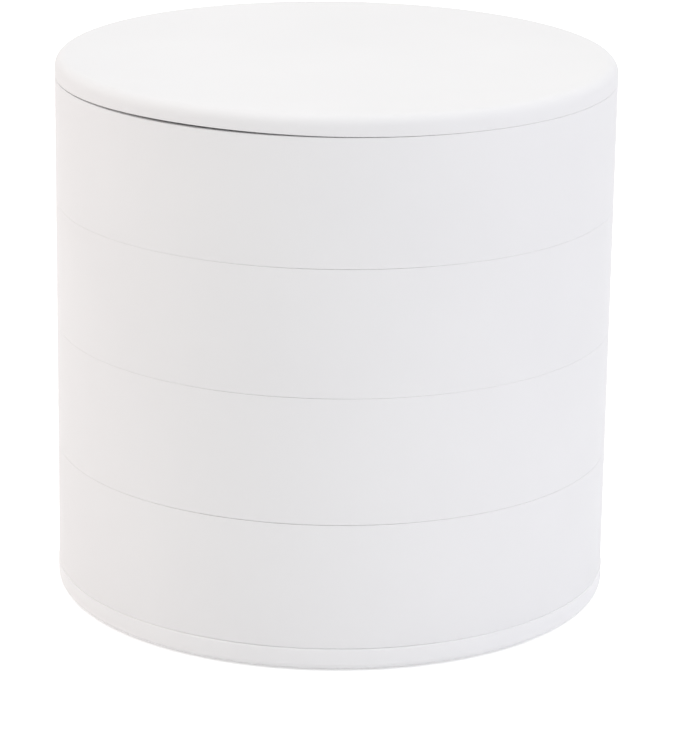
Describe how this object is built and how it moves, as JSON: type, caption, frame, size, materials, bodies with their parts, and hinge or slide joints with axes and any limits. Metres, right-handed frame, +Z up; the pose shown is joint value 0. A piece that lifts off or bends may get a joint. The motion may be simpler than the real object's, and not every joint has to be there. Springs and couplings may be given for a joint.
{
  "type": "rotating jewelry box",
  "caption": "Round stacked jewelry box whose shallow trays and flat lid each swing a full turn about a pin near the back wall.",
  "frame": {"origin": "centre of the footprint, on the surface that the feet stand on", "axes": "+Z up along the stack, -Y the front, +Y the side where the pivot pin stands, +X to the right seen from the front"},
  "size_m": [0.1023, 0.1022, 0.0999],
  "materials": {
    "shell": "satin white moulded ABS with a fine, even grain",
    "acetal": "natural white acetal, smooth",
    "nylon": "natural nylon, smooth",
    "steel": "zinc-plated steel",
    "foot_rubber": "grey rubber, matt"
  },
  "bodies": {
    "base": {"base_cover": "shell", "front_left_foot": "foot_rubber", "front_right_foot": "foot_rubber", "back_right_foot": "foot_rubber", "back_left_foot": "foot_rubber", "cover_screws": "steel", "bottom_tray": "shell", "pivot_pin": "steel", "lock_nut": "steel", "nut_washer": "steel", "disc_spring": "steel", "lower_tray_washer": "nylon", "upper_tray_washer": "nylon", "top_tray_washer": "nylon", "lid_washer": "nylon"},
    "lower_tray": {"lower_tray": "shell", "lower_tray_bush": "acetal"},
    "upper_tray": {"upper_tray": "shell", "upper_tray_bush": "acetal"},
    "top_tray": {"top_tray": "shell", "top_tray_bush": "acetal"},
    "lid": {"lid_cover": "shell", "lid_plate": "shell", "lid_bush": "acetal"}
  },
  "joints": [
    {"name": "lower_tray_swivel", "type": "hinge", "parent": "base", "child": "lower_tray", "pos_m": [0, 0.0415, 0], "axis": [0, 0, 1], "continuous": true},
    {"name": "upper_tray_swivel", "type": "hinge", "parent": "base", "child": "upper_tray", "pos_m": [0, 0.0415, 0], "axis": [0, 0, 1], "continuous": true},
    {"name": "top_tray_swivel", "type": "hinge", "parent": "base", "child": "top_tray", "pos_m": [0, 0.0415, 0], "axis": [0, 0, 1], "continuous": true},
    {"name": "lid_swivel", "type": "hinge", "parent": "base", "child": "lid", "pos_m": [0, 0.0415, 0], "axis": [0, 0, 1], "continuous": true}
  ]
}
